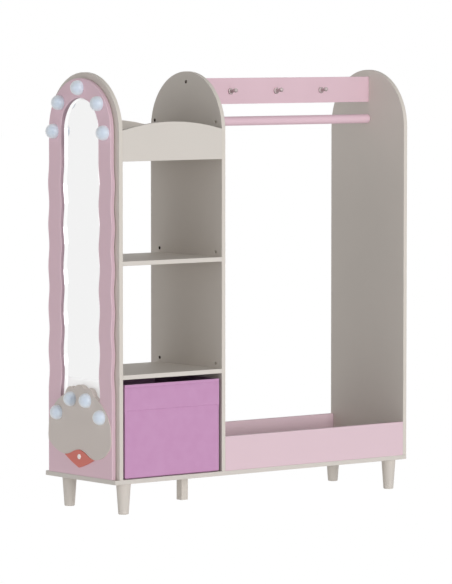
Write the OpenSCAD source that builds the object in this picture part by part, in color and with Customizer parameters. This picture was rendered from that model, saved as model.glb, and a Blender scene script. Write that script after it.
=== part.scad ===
// Child's dressing-up storage unit with a mirror on its left end: three round-topped side panels
// on a low base with feet, a bay of shelves with a fabric bin, a hanging bay with a rail, hooks
// and a tray, and a wavy arched mirror frame with round bulbs and a flat scallop shell.
// X runs to the right, Y to the back, Z up. The origin is on the floor, in the middle.

/* [Overall] */
// Width over the three side panels
unit_w = 1000; // [900:1:1200]
// Depth of the side panels, front to back
panel_d = 313; // [300:1:340]
// Height of the side panels' round tops above the floor
unit_h = 1167; // [1150:1:1250]
// Thickness of the boards
board_t = 12; // [12:0.5:15]

/* [Shelf bay] */
// Clear width between the left panel and the divider
bay_w = 331.4; // [300:0.1:360]
// Depth of the shelves, from the front
shelf_d = 284; // [270:1:290]
// Clear height over the base, where the bin stands
bin_bay_h = 264.5; // [255:0.5:290]
// Clear height between the two shelves
mid_bay_h = 288; // [260:1:300]
// Clear height under the gallery shelf
top_bay_h = 262; // [240:1:280]
// Height of the gallery rails at their ends
rail_end_h = 81; // [70:1:95]
// Rise of the gallery rails' arched top edge
rail_rise = 21.5; // [5:0.5:40]

/* [Hanging bay] */
// Height of the board that carries the coat hooks
hook_board_h = 70.5; // [60:0.5:90]
// Drop from the panels' tops to the hook board's top edge
hook_board_drop = 19; // [10:1:30]
// Drop from the hook board's lower edge to the clothes rail's axis
rod_drop = 47; // [30:1:80]
// Diameter of the clothes rail
rod_d = 25; // [20:1:32]
// Height of the boards at the front and back of the tray
tray_h = 93; // [80:1:140]

/* [Coat hooks] */
// Number of coat hooks
hook_count = 3; // [3:1:3]
// Distance from one coat hook to the next
hook_pitch = 160; // [100:1:200]
// Shift of the middle hook to the right of the hanging bay's middle
hook_shift = -19.2; // [-30:0.1:30]
// Height of the hooks above the hook board's lower edge
hook_up = 34.5; // [25:0.5:45]
// Diameter of a hook's base disc
hook_disc_d = 23; // [18:1:30]
// Thickness of a hook's base disc
hook_disc_t = 4; // [3:0.5:6]
// Diameter of the neck where it leaves the disc
hook_root_d = 11; // [9:0.5:14]
// Diameter of the neck behind its head
hook_neck_d = 7; // [6:0.5:9]
// Diameter of the hook's round head
hook_head_d = 14; // [12:0.5:18]
// Length of a hook from the board to the tip of its head
hook_l = 31; // [26:1:45]
// Upward tilt of the hook's neck in degrees
hook_tilt = 8; // [0:1:15]

/* [Mirror frame] */
// Thickness of the wavy frame board
frame_t = 10; // [9:0.5:15]
// Thickness of the backing board between the frame and the side panel
backing_t = 4; // [3.5:0.5:8]
// How far the backing board is set in from the frame's outline
backing_inset = 4; // [2:0.5:8]
// Thickness of the mirror sheet
mirror_t = 2; // [1.5:0.5:3]
// Gap round the mirror sheet in its pocket
mirror_gap = 0.5; // [0.3:0.1:1]
// How far the mirror sheet runs behind the frame's inner edge
mirror_lap = 8; // [6:1:12]
// Distance from the frame's widest points to the side panel's edges
frame_side_gap = 14.2; // [8:0.1:20]
// Distance from the top of the frame to the top of the side panel
frame_top_gap = 15.3; // [8:0.1:30]
// Width of the frame's band at its sides
band_w = 56.5; // [50:0.5:65]
// Width of the frame's band at the top of the arch
band_top_w = 52; // [46:0.5:65]
// Depth of the waves, from their middle line
wave_amp = 2.3; // [1:0.1:4]
// Number of half waves up each side, an odd number
half_waves = 11; // [7:2:15]
// How far the opening's lower edge lies under the ends of the shell's outer lobes
open_under = 12; // [8:0.5:20]
// Height of the lowest wave crest above the base
wave_up = 217; // [200:1:240]
// Distance from the highest wave hollow to the arch's centre
wave_drop = 87; // [40:1:120]

/* [Bulbs] */
// Diameter of a bulb
bulb_d = 39; // [30:0.5:44]
// Height of the straight skirt under a bulb's dome
bulb_skirt = 3.4; // [2:0.1:8]
// Diameter of the peg that holds a bulb in the frame
peg_d = 10; // [8:0.5:14]
// Depth of the peg in the frame
peg_l = 6; // [4:0.5:8]
// Distance of the arch's bulbs from the frame's outer edge
bulb_in = 25.4; // [23:0.1:30]
// Angle from the top bulb to the next one round the arch
bulb_angle_1 = 50.3; // [35:0.1:60]
// Angle from the top bulb to the last one round the arch
bulb_angle_2 = 92.4; // [80:0.1:110]
// Distance of the shell's upper bulbs from its middle line
shell_bulb_y1 = 34.3; // [25:0.1:45]
// Height of the shell's upper bulbs above the base
shell_bulb_z1 = 203; // [195:0.5:208]
// Distance of the shell's lower bulbs from the frame's widest points
shell_bulb_in = 46.5; // [38:0.1:56]
// Height of the shell's lower bulbs above the base
shell_bulb_z2 = 162.4; // [140:0.1:175]

/* [Shell] */
// Thickness of the shell
shell_t = 2.5; // [1.5:0.5:5]
// How far the shell's widest part stands past the frame's edge
shell_over = 0.8; // [0:0.1:4]
// Height of the middle lobe's top above the base
lobe_top = 243; // [235:0.5:250]
// Half width of the middle lobe
lobe_hw = 25.5; // [20:0.5:30]
// Rise of the middle lobe over its notches
lobe_rise = 7.5; // [4:0.5:12]
// Distance of the outer lobes' ends from the opening's edges
outer_end_in = 10.8; // [6:0.1:20]
// Height of the outer lobes' ends above the base
outer_end_z = 214; // [208:0.5:225]
// Swell of the outer lobes
outer_rise = 13.5; // [8:0.5:18]
// Swell of the shell's upper flanks
flank_rise = 5; // [2:0.5:12]
// Height above the base where the flanks reach the sides
side_top = 144; // [130:1:155]
// Height above the base where the sides turn under
side_low = 92; // [85:1:110]
// Swell of the shell's lower corners
under_rise = 10; // [4:0.5:16]

/* [Diamond] */
// Thickness of the diamond on the shell
diamond_t = 4.5; // [3:0.5:7]
// Half width of the diamond
diamond_hw = 65.5; // [50:0.5:80]
// Height of the diamond's side tips above the base
diamond_z = 50; // [44:0.5:60]
// Rise of the diamond's top over its side tips
diamond_up = 19.5; // [14:0.5:26]
// Fall of the diamond's bottom under its side tips
diamond_down = 28.5; // [20:0.5:34]
// Swell of the diamond's curved edges
diamond_bow = 1.8; // [0.5:0.1:3]
// Gap between the diamond and the shell round it
inlay_gap = 0.4; // [0.3:0.1:0.8]
// Diameter of the pearl
pearl_d = 15; // [10:0.5:20]

/* [Feet] */
// Height of the feet
foot_h = 84; // [60:1:120]
// Diameter of a foot at its top
foot_top_d = 37; // [32:0.5:45]
// Diameter of a foot at its bottom
foot_low_d = 28; // [22:0.5:32]
// Radius of the foot's lower edge
foot_edge_r = 3; // [1:0.5:6]
// Distance of the left feet from the base's left end
foot_in_left = 53.3; // [30:0.1:80]
// Distance of the right feet from the base's right end
foot_in_right = 34.7; // [32:0.1:60]
// Distance of the feet from the base's front and back edges
foot_in_y = 36; // [25:0.5:50]
// Width of the square middle leg
leg_w = 22; // [16:0.5:30]
// Depth of the square middle leg
leg_d = 20; // [16:0.5:30]
// Distance of the middle leg's centre to the right of the divider's centre
leg_shift_x = 10.6; // [8:0.1:30]
// Distance of the middle leg's centre behind the middle of the base
leg_shift_y = 37.4; // [0:0.1:60]

/* [Bin] */
// Gap between the bin and the panels on each side
bin_gap = 7; // [3:0.5:15]
// Height of the bin
bin_h = 250; // [200:1:253]
// Depth of the bin, front to back
bin_d = 283; // [250:1:290]
// How far the bin's face stands behind the panels' front edges
bin_set = 2; // [0:0.5:8]
// Gap between the bin and the base it slides on
bin_float = 0.3; // [0.3:0.1:1]
// Thickness of the bin's walls
bin_wall = 3; // [2:0.5:5]
// Depth of the folded hem round the bin's top
hem_h = 60; // [30:1:90]
// Extra thickness of the folded hem
hem_t = 1.5; // [0.5:0.5:3]
// Radius of the bin's upright corners
bin_corner_r = 8; // [5:0.5:20]
// Thickness of the stiff board in the bin's bottom
bin_board_t = 2.5; // [1.5:0.5:5]
// Gap round the stiff board
bin_board_gap = 1; // [0.5:0.5:3]

/* [Drilled holes] */
// Diameter of the open holes in the shelf bay's panels
hole_d = 9; // [6:0.5:10]
// Depth of the open holes
hole_depth = 6; // [4:0.5:8]
// Distance of the front holes from the panel's front edge
hole_front = 27; // [20:0.5:40]
// Distance of the shelf bay's back holes from the panel's back edge
hole_back = 39; // [30:0.5:50]
// Distance of the gallery's back holes from the panel's back edge
hole_gallery = 18; // [16:0.5:30]
// Height of the holes above each shelf
hole_up = 12.5; // [8:0.5:20]
// Height of the gallery's holes above the ends of its rails
hole_rail_up = 17.5; // [12:0.5:22]
// Drop from the hook board's top edge to the top hole
hole_hook_drop = 9; // [7:0.5:14]

/* [Fixings] */
// Diameter of a cam lock
cam_d = 15; // [12:0.5:16]
// Depth of a cam lock's bore
cam_depth = 10; // [9:0.5:10.5]
// Width of the slot that turns a cam lock
slot_w = 1.2; // [0.8:0.1:2]
// Depth of that slot
slot_depth = 1.5; // [1:0.1:2.5]
// Distance of a cam lock's centre from the board's end
cam_in = 24; // [20:0.5:34]
// Diameter of a cam bolt's shoulder and head
bolt_head_d = 6.5; // [5.5:0.5:7]
// Diameter of a cam bolt's neck and thread
bolt_d = 5; // [4:0.5:5]
// Depth of a cam bolt's thread in a panel
bolt_bite = 8; // [6:0.5:9]
// Diameter of a dowel
dowel_d = 8; // [6:0.5:8]
// Depth of a dowel in a panel
dowel_bite = 7; // [5:0.5:8]
// Depth of a dowel in a board's end
dowel_in = 18; // [12:0.5:24]
// Distance of the fixings from a shelf's front and back edges
fix_in = 45; // [30:1:70]
// Height of a dowel above a board's lower edge
dowel_up = 24; // [20:1:26]
// Height of a cam lock above a board's lower edge
cam_up = 52; // [45:1:55]
// Height of a cam lock above the hook board's lower edge
hook_cam_up = 18; // [12:1:20]
// Height of a dowel above the hook board's lower edge
hook_dowel_up = 44; // [35:1:48]
// Diameter of a wood screw's shank
screw_d = 4; // [3:0.5:5]
// Diameter of a wood screw's head
screw_head_d = 8.5; // [7:0.5:10]
// Height of a wood screw's countersunk head
screw_head_h = 3; // [2:0.5:4]
// Length of the screws that hold the panels on the base
base_screw_l = 40; // [32:1:50]
// Distance of those screws from the base's front and back edges
base_screw_in = 46.5; // [40:0.5:90]
// Depth of the mirror screws in the frame board
frame_bite = 7; // [4:0.5:8]
// Distance of the lowest and highest mirror screws from the frame's foot and the arch's centre
frame_screw_end = 54; // [40:1:80]
// Distance of the mirror screws from the frame's widest points
frame_screw_in = 25.3; // [18:0.1:36]
// Diameter of a foot's bolt
foot_bolt_d = 8; // [6:0.5:10]
// Depth of a foot's bolt in the base
foot_bolt_up = 9; // [7:0.5:10]
// Depth of a foot's bolt in the foot
foot_bolt_in = 30; // [20:1:40]
// Radial gap round fixings and pegs
fit_gap = 0.1; // [0.05:0.05:0.3]

/* [Hidden] */

// Colours
beige = "#d6cfc7";
pink = "#e1c3ce";
frame_pink = "#e3c5d0";
shell_beige = "#d3cac3";
coral = "#e37f74";
bulb_blue = "#dce6f0";
lilac = "#c493ba";
zinc = "#b8bcc0";
birch = "#dcc9a3";

$fn = 96;
// Overlap that carries a cut clear of the face it starts from
cut = 0.1;
// Straight steps in each half wave, in each arc of an outline and in the arches
wave_steps = 8;
arc_steps = 10;
arch_steps = 36;
// Straight steps in the rounded edge of a foot
edge_steps = 6;

// Heights
base_top = foot_h + board_t;
lower_z = base_top + bin_bay_h;
upper_z = lower_z + board_t + mid_bay_h;
gallery_z = upper_z + board_t + top_bay_h;
rail_end_z = gallery_z + rail_end_h;
hook_board_z = unit_h - hook_board_drop - hook_board_h;
rod_z = hook_board_z - rod_drop;

// Front and back planes, and the inner faces of the boards that stand on them
front = -panel_d / 2;
back = panel_d / 2;

// The left end carries the mirror, so the side panels' left face lies right of the middle of
// what is left over
mirror_build = frame_t + backing_t;
bulb_stand = bulb_skirt + bulb_d / 2;
left_stand = mirror_build + shell_t + bulb_stand;
left_x = (left_stand - unit_w) / 2;
bay_x = left_x + board_t;
divider_x = bay_x + bay_w;
hang_x = divider_x + board_t;
right_x = left_x + unit_w - board_t;
hang_w = right_x - hang_x;
frame_back_x = left_x - backing_t;
frame_face_x = left_x - mirror_build;

// Mirror frame
bulge_hw = panel_d / 2 - frame_side_gap;
hollow_hw = bulge_hw - 2 * wave_amp;
arch_z = unit_h - frame_top_gap - hollow_hw;
open_top = unit_h - frame_top_gap - band_top_w;
open_arch_z = open_top - (hollow_hw - band_w);
wave_z0 = base_top + wave_up;
wave_z1 = arch_z - wave_drop;
open_low = base_top + outer_end_z - open_under;
mirror_hw = bulge_hw - band_w + mirror_lap;
mirror_top = open_top + mirror_lap;
mirror_low = open_low - mirror_lap / 2;
bulb_ring_r = hollow_hw - bulb_in;
bulb_ring = [[0, 0], [-bulb_angle_1, 1], [bulb_angle_1, 1], [-bulb_angle_2, 2], [bulb_angle_2, 2]];
frame_bulbs = [for (b = bulb_ring) [bulb_ring_r * sin(b[0]), arch_z + bulb_ring_r * cos(b[0])]];
shell_bulb_y2 = bulge_hw - shell_bulb_in;
shell_bulbs = [[-shell_bulb_y1, base_top + shell_bulb_z1], [shell_bulb_y1, base_top + shell_bulb_z1],
    [-shell_bulb_y2, base_top + shell_bulb_z2], [shell_bulb_y2, base_top + shell_bulb_z2]];
frame_screw_z = [base_top + frame_screw_end, (base_top + arch_z) / 2, arch_z - frame_screw_end];
frame_screw_y = bulge_hw - frame_screw_in;
frame_screws = [for (s = [-1, 1], z = frame_screw_z) [s * frame_screw_y, z]];

// Coat hooks
hook_z = hook_board_z + hook_up;
hook_spots = [for (i = [0 : hook_count - 1])
    [hang_x + hang_w / 2 + hook_shift + hook_pitch * (i - (hook_count - 1) / 2), 0, hook_z]];

// Feet
base_x = frame_face_x;
base_w = unit_w + mirror_build;
foot_xs = [base_x + foot_in_left, base_x + base_w - foot_in_right];
foot_ys = [front + foot_in_y, back - foot_in_y];
leg_x = divider_x + board_t / 2 + leg_shift_x;
leg_y = leg_shift_y;
bolt_spots = concat([for (x = foot_xs, y = foot_ys) [x, y]], [[leg_x, leg_y]]);
base_screw_spots = [for (x = [left_x, divider_x, right_x], y = [front + base_screw_in, back - base_screw_in])
    [x + board_t / 2, y]];

// Bin
bin_x = bay_x + bin_gap;
bin_w = bay_w - 2 * bin_gap;
bin_y = front + bin_set;
bin_z = base_top + bin_float;

// Ends of boards: [x of the panel's face, y, z, tilt about X, turn about Z]
function shelf_ends(z) = [for (e = [[bay_x, 0], [divider_x, 180]],
    y = [front + fix_in, front + shelf_d - fix_in]) [e[0], y, z + board_t / 2, 0, e[1]]];
function board_ends(xa, xb, y, z) = [[xa, y, z, 90, 0], [xb, y, z, -90, 180]];
front_mid = front + board_t / 2;
back_mid = back - board_t / 2;
lower_cams = shelf_ends(lower_z);
upper_cams = shelf_ends(upper_z);
gallery_cams = shelf_ends(gallery_z);
front_rail_cams = board_ends(bay_x, divider_x, front_mid, gallery_z + cam_up);
front_rail_dowels = board_ends(bay_x, divider_x, front_mid, gallery_z + dowel_up);
back_rail_cams = board_ends(bay_x, divider_x, back_mid, gallery_z + cam_up);
back_rail_dowels = board_ends(bay_x, divider_x, back_mid, gallery_z + dowel_up);
front_tray_cams = board_ends(hang_x, right_x, front_mid, base_top + cam_up);
front_tray_dowels = board_ends(hang_x, right_x, front_mid, base_top + dowel_up);
back_tray_cams = board_ends(hang_x, right_x, back_mid, base_top + cam_up);
back_tray_dowels = board_ends(hang_x, right_x, back_mid, base_top + dowel_up);
hook_cams = board_ends(hang_x, right_x, 0, hook_board_z + hook_cam_up);
hook_dowels = board_ends(hang_x, right_x, 0, hook_board_z + hook_dowel_up);
rod_dowels = board_ends(hang_x, right_x, 0, rod_z);
all_cams = concat(lower_cams, upper_cams, gallery_cams, front_rail_cams, back_rail_cams,
    front_tray_cams, back_tray_cams, hook_cams);
all_dowels = concat(front_rail_dowels, back_rail_dowels, front_tray_dowels, back_tray_dowels,
    hook_dowels, rod_dowels);

// Open holes in the shelf bay's panels, as [y, z]
bay_holes = concat([for (z = [lower_z, upper_z], y = [front + hole_front, back - hole_back])
        [y, z + board_t + hole_up]],
    [for (y = [front + hole_front, back - hole_gallery]) [y, rail_end_z + hole_rail_up]],
    [[0, hook_board_z + hook_board_h - hole_hook_drop]]);

// Half width of the frame's outline at height z: straight, waved, straight
function wave_hw(z) = z <= wave_z0 ? bulge_hw : z >= wave_z1 ? hollow_hw
    : (bulge_hw + hollow_hw) / 2
        + wave_amp * cos(180 * half_waves * (z - wave_z0) / (wave_z1 - wave_z0));

// Waved outline with a round top, set in by a distance, from its foot z_low to its arch's centre
function waved_outline(inset, z_low, z_arch) =
    let (n = half_waves * wave_steps,
        side = [for (i = [0 : n]) let (z = wave_z0 + i * (wave_z1 - wave_z0) / n)
            [wave_hw(z) - inset, z]],
        r = hollow_hw - inset)
    concat([[bulge_hw - inset, z_low]], side,
        [for (i = [0 : arch_steps]) let (a = 180 * i / arch_steps)
            [r * cos(a), z_arch + r * sin(a)]],
        [for (i = [n : -1 : 0]) [-side[i][0], side[i][1]]], [[inset - bulge_hw, z_low]]);

// Arc from a to b that swells to the left of the way from a to b; its last point is left out
function bow(a, b, swell) =
    let (h = norm(b - a) / 2,
        u = (b - a) / (2 * h),
        n = [-u[1], u[0]],
        r = (h * h + swell * swell) / (2 * swell),
        half = asin(h / r),
        c = (a + b) / 2 + n * (swell - r))
    [for (i = [0 : arc_steps - 1]) let (t = half * (2 * i / arc_steps - 1))
        c + n * r * cos(t) + u * r * sin(t)];

// The other half of an outline that starts and ends near the middle line
function other_half(pts) = [for (i = [len(pts) - 1 : -1 : 0]) [-pts[i][0], pts[i][1]]];

// Scallop: a middle lobe, two outer lobes, swelling flanks, sides and rounded lower corners
function shell_outline() =
    let (notch = [lobe_hw, base_top + lobe_top - lobe_rise],
        outer = [bulge_hw - band_w - outer_end_in, base_top + outer_end_z],
        side_a = [bulge_hw, base_top + side_top],
        side_b = [bulge_hw, base_top + side_low],
        tip = [diamond_hw + 2 * inlay_gap, base_top + diamond_z],
        half = concat(bow(notch, outer, outer_rise), bow(outer, side_a, flank_rise),
            bow(side_a, side_b, shell_over), bow(side_b, tip, under_rise), [tip]))
    concat(bow([-notch[0], notch[1]], notch, lobe_rise), half, other_half(half));

// Diamond with curved edges: hollow by its side tips and full by its top and bottom
function diamond_outline(gap) =
    let (z = base_top + diamond_z,
        tip = [diamond_hw + gap, z],
        top = [0, z + diamond_up + gap],
        low = [0, z - diamond_down - gap],
        half = concat(bow(top, (top + tip) / 2, diamond_bow),
            bow((top + tip) / 2, tip, -diamond_bow), bow(tip, low, diamond_bow)))
    concat(half, [low], [for (i = [len(half) - 1 : -1 : 1]) [-half[i][0], half[i][1]]]);

// Plate drawn in Y and Z that grows to the right from x
module side_plate(x, t) {
    translate([x, 0, 0]) rotate([90, 0, 90]) linear_extrude(t) children();
}

// Plate drawn in X and Z that grows to the back from y
module front_plate(y, t) {
    translate([0, y + t, 0]) rotate([90, 0, 0]) linear_extrude(t) children();
}

// Round bar along X
module bar_x(x, y, z, d, l) {
    translate([x, y, z]) rotate([0, 90, 0]) cylinder(d = d, h = l);
}

// Places its children at a board's end: X into the board, -Z to the side where the cam shows
module at_end(e) {
    translate([e[0], e[1], e[2]]) rotate([e[3], 0, e[4]]) children();
}

// Bores for cam locks and their bolts in a board
module cam_bores(ends) {
    for (e = ends) at_end(e) {
        translate([cam_in, 0, -board_t / 2 - cut]) cylinder(d = cam_d, h = cam_depth + cut);
        bar_x(-cut, 0, 0, bolt_head_d + 2 * fit_gap, cam_in + cut);
    }
}

// Bores for cam bolts in a panel
module bolt_bores(ends) {
    for (e = ends) at_end(e) bar_x(-bolt_bite, 0, 0, bolt_d, bolt_bite + cut);
}

// Bores for dowels, in a panel and in the board's end alike
module dowel_bores(ends) {
    for (e = ends) at_end(e) bar_x(-dowel_bite, 0, 0, dowel_d, dowel_bite + dowel_in);
}

// Side panel: upright sides and a half-round top
module panel_outline() {
    translate([front, base_top]) square([panel_d, unit_h - panel_d / 2 - base_top]);
    intersection() {
        translate([0, unit_h - panel_d / 2]) circle(d = panel_d, $fn = 180);
        translate([front, base_top]) square([panel_d, unit_h - base_top]);
    }
}

// Pilot bores for the screws that come up through the base
module base_pilots() {
    for (s = base_screw_spots) translate([s[0], s[1], foot_h]) cylinder(d = screw_d, h = base_screw_l);
}

module base_panel() {
    color(beige) difference() {
        translate([base_x, front, foot_h]) cube([base_w, panel_d, board_t]);
        for (s = base_screw_spots) translate([s[0], s[1], foot_h - cut]) {
            cylinder(d = screw_d, h = board_t + 2 * cut);
            cylinder(d = screw_head_d, h = screw_head_h + cut);
        }
        for (s = bolt_spots) translate([s[0], s[1], foot_h - cut])
            cylinder(d = foot_bolt_d, h = foot_bolt_up + cut);
    }
}

module left_side_panel() {
    color(beige) difference() {
        side_plate(left_x, board_t) panel_outline();
        base_pilots();
        bolt_bores(all_cams);
        dowel_bores(all_dowels);
        for (h = bay_holes) bar_x(bay_x - hole_depth, h[0], h[1], hole_d, hole_depth + cut);
        for (s = frame_screws) {
            bar_x(left_x - cut, s[0], s[1], screw_d, board_t + 2 * cut);
            bar_x(bay_x - screw_head_h, s[0], s[1], screw_head_d, screw_head_h + cut);
        }
    }
}

module divider_panel() {
    color(beige) difference() {
        side_plate(divider_x, board_t) panel_outline();
        base_pilots();
        bolt_bores(all_cams);
        dowel_bores(all_dowels);
        for (h = bay_holes) bar_x(divider_x - cut, h[0], h[1], hole_d, hole_depth + cut);
    }
}

module right_side_panel() {
    color(beige) difference() {
        side_plate(right_x, board_t) panel_outline();
        base_pilots();
        bolt_bores(all_cams);
        dowel_bores(all_dowels);
    }
}

module shelf(z, y, d, ends) {
    difference() {
        translate([bay_x, y, z]) cube([bay_w, d, board_t]);
        cam_bores(ends);
    }
}

module upper_shelf() {
    color(beige) shelf(upper_z, front, shelf_d, upper_cams);
}

module lower_shelf() {
    color(beige) shelf(lower_z, front, shelf_d, lower_cams);
}

module gallery_shelf() {
    color(beige) shelf(gallery_z, front + board_t, panel_d - 2 * board_t, gallery_cams);
}

// Gallery rail: straight below and arched above
module gallery_rail(y, cams, dowels) {
    r = (bay_w * bay_w / 4 + rail_rise * rail_rise) / (2 * rail_rise);
    difference() {
        front_plate(y, board_t) intersection() {
            translate([bay_x, gallery_z]) square([bay_w, rail_end_h + rail_rise]);
            translate([bay_x + bay_w / 2, rail_end_z + rail_rise - r]) circle(r = r, $fn = 720);
        }
        cam_bores(cams);
        dowel_bores(dowels);
    }
}

module front_gallery_rail() {
    color(beige) gallery_rail(front, front_rail_cams, front_rail_dowels);
}

module back_gallery_rail() {
    color(beige) gallery_rail(back - board_t, back_rail_cams, back_rail_dowels);
}

// Straight upright board between the divider and the right panel
module hang_board(y, z, h, cams, dowels) {
    difference() {
        translate([hang_x, y, z]) cube([hang_w, board_t, h]);
        cam_bores(cams);
        dowel_bores(dowels);
    }
}

module hook_board() {
    color(pink) difference() {
        hang_board(-board_t / 2, hook_board_z, hook_board_h, hook_cams, hook_dowels);
        for (s = hook_spots) translate(s) rotate([90, 0, 0])
            cylinder(d = screw_d, h = board_t + 2 * cut, center = true);
    }
}

module clothes_rail() {
    color(pink) difference() {
        bar_x(hang_x, 0, rod_z, rod_d, hang_w);
        dowel_bores(rod_dowels);
    }
}

module tray_front_board() {
    color(pink) hang_board(front, base_top, tray_h, front_tray_cams, front_tray_dowels);
}

module tray_back_board() {
    color(pink) hang_board(back - board_t, base_top, tray_h, back_tray_cams, back_tray_dowels);
}

module mirror_frame() {
    color(frame_pink) difference() {
        side_plate(frame_face_x, frame_t) difference() {
            polygon(waved_outline(0, base_top, arch_z));
            difference() {
                polygon(waved_outline(band_w, open_low, open_arch_z));
                polygon(shell_outline());
            }
        }
        for (b = concat(frame_bulbs, shell_bulbs))
            bar_x(frame_face_x - cut, b[0], b[1], peg_d + 2 * fit_gap, peg_l + cut);
        for (s = frame_screws) bar_x(frame_back_x - frame_bite, s[0], s[1], screw_d, frame_bite + cut);
    }
}

// Mirror's outline: upright sides and a half-round top
module mirror_outline(gap) {
    hw = mirror_hw + gap;
    z_arch = mirror_top - mirror_hw;
    translate([-hw, mirror_low - gap]) square([2 * hw, z_arch - mirror_low + gap]);
    intersection() {
        translate([0, z_arch]) circle(r = hw, $fn = 180);
        translate([-hw, mirror_low]) square([2 * hw, z_arch - mirror_low + hw]);
    }
}

module mirror_backing() {
    color(beige) difference() {
        side_plate(frame_back_x, backing_t) polygon(waved_outline(backing_inset, base_top, arch_z));
        side_plate(frame_back_x - cut, mirror_t + cut) mirror_outline(mirror_gap);
        for (s = frame_screws) bar_x(frame_back_x - cut, s[0], s[1], screw_d, backing_t + 2 * cut);
    }
}

module mirror_sheet() {
    color("#efefef") side_plate(frame_back_x, mirror_t) mirror_outline(0);
}

module shell_panel() {
    color(shell_beige) difference() {
        side_plate(frame_face_x - shell_t, shell_t) difference() {
            polygon(shell_outline());
            polygon(diamond_outline(inlay_gap));
        }
        for (b = shell_bulbs)
            bar_x(frame_face_x - shell_t - cut, b[0], b[1], peg_d + 2 * fit_gap, shell_t + 2 * cut);
    }
}

module shell_diamond() {
    color(coral) side_plate(frame_face_x - diamond_t, diamond_t) polygon(diamond_outline(0));
}

// Half ball on a straight skirt, standing to the left of the face at x
module dome(x, y, z, d, skirt) {
    translate([x, y, z]) rotate([0, -90, 0]) union() {
        cylinder(d = d, h = skirt);
        translate([0, 0, skirt]) intersection() {
            sphere(d = d);
            translate([-d, -d, -skirt / 2]) cube([2 * d, 2 * d, d]);
        }
    }
}

module shell_pearl() {
    color("#f6e6de") dome(frame_face_x - diamond_t, 0, base_top + diamond_z, pearl_d, 1);
}

// Bulb with the peg that holds it in the frame
module bulb(x, spot, peg) {
    color(bulb_blue) union() {
        dome(x, spot[0], spot[1], bulb_d, bulb_skirt);
        bar_x(x - bulb_skirt / 2, spot[0], spot[1], peg_d, peg + bulb_skirt / 2);
    }
}

module frame_bulb(i) {
    bulb(frame_face_x, frame_bulbs[i], peg_l);
}

module shell_bulb(i) {
    bulb(frame_face_x - shell_t, shell_bulbs[i], peg_l + shell_t);
}

// Coat hook: a disc, and a tapered neck with a rounded head that leans up
module coat_hook(i) {
    head_l = hook_l - hook_disc_t;
    color("#a2938f") translate(hook_spots[i]) translate([0, -board_t / 2, 0]) difference() {
        union() {
            rotate([90, 0, 0]) cylinder(d = hook_disc_d, h = hook_disc_t);
            translate([0, -hook_disc_t / 2, 0]) rotate([90 - hook_tilt, 0, 0]) union() {
                cylinder(d1 = hook_root_d, d2 = hook_neck_d, h = head_l - hook_head_d / 4);
                translate([0, 0, head_l + hook_disc_t / 2 - hook_head_d / 2]) sphere(d = hook_head_d);
            }
        }
        translate([0, cut, 0]) rotate([90, 0, 0]) cylinder(d = screw_d, h = hook_disc_t * 2 + cut);
    }
}

// Tapered round foot with a rounded lower edge
module foot(x, y) {
    color(beige) translate([x, y, 0]) difference() {
        rotate_extrude() polygon(concat([[0, 0]],
            [for (i = [0 : edge_steps]) let (a = 90 * i / edge_steps)
                [foot_low_d / 2 - foot_edge_r * (1 - sin(a)), foot_edge_r * (1 - cos(a))]],
            [[foot_top_d / 2, foot_h], [0, foot_h]]));
        translate([0, 0, foot_h - foot_bolt_in]) cylinder(d = foot_bolt_d, h = foot_bolt_in + cut);
    }
}

module middle_leg() {
    color(beige) difference() {
        translate([leg_x - leg_w / 2, leg_y - leg_d / 2, 0]) cube([leg_w, leg_d, foot_h]);
        translate([leg_x, leg_y, foot_h - foot_bolt_in]) cylinder(d = foot_bolt_d, h = foot_bolt_in + cut);
    }
}

// Box with round upright corners, its lower corner at [x, y, z]
module round_box(x, y, z, w, d, h, r) {
    translate([x + r, y + r, z]) linear_extrude(h) union() {
        translate([-r, 0]) square([w, d - 2 * r]);
        translate([0, -r]) square([w - 2 * r, d]);
        for (i = [0, w - 2 * r], j = [0, d - 2 * r]) translate([i, j]) circle(r = r);
    }
}

module storage_bin() {
    inner = bin_wall + hem_t;
    color(lilac) difference() {
        round_box(bin_x, bin_y, bin_z, bin_w, bin_d, bin_h, bin_corner_r);
        round_box(bin_x + bin_wall, bin_y + bin_wall, bin_z + bin_wall, bin_w - 2 * bin_wall,
            bin_d - 2 * bin_wall, bin_h - bin_wall - hem_h, bin_corner_r - bin_wall);
        round_box(bin_x + inner, bin_y + inner, bin_z + bin_wall + bin_board_t, bin_w - 2 * inner,
            bin_d - 2 * inner, bin_h, bin_corner_r - inner);
    }
}

module bin_base_board() {
    side = bin_wall + bin_board_gap;
    color("#8c6a86") round_box(bin_x + side, bin_y + side, bin_z + bin_wall, bin_w - 2 * side,
        bin_d - 2 * side, bin_board_t, bin_corner_r - side);
}

// Cam locks: short drums with a passage for the bolt's head and a cross slot to turn them
module cam_locks() {
    h = cam_depth - fit_gap;
    color(zinc) for (e = all_cams) at_end(e) translate([cam_in, 0, 0]) difference() {
        translate([0, 0, cam_depth - board_t / 2 - h]) cylinder(d = cam_d - 2 * fit_gap, h = h);
        bar_x(-cam_d, 0, 0, bolt_head_d + 2 * fit_gap, cam_d + cam_d / 4);
        translate([-cam_d / 4, -slot_w / 2, -board_t / 2 - cut]) cube([cam_d / 2, slot_w, slot_depth + cut]);
    }
}

// Cam bolts: a thread in the panel, a shoulder, a neck and a head in the cam
module cam_bolts() {
    color(zinc) for (e = all_cams) at_end(e) {
        bar_x(-bolt_bite, 0, 0, bolt_d - fit_gap, bolt_bite + cam_in - bolt_d);
        bar_x(0, 0, 0, bolt_head_d, bolt_d);
        bar_x(cam_in - bolt_d, 0, 0, bolt_head_d, bolt_d);
    }
}

module dowels() {
    color(birch) for (e = all_dowels) at_end(e)
        bar_x(fit_gap - dowel_bite, 0, 0, dowel_d - 2 * fit_gap, dowel_bite + dowel_in - 2 * fit_gap);
}

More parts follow.
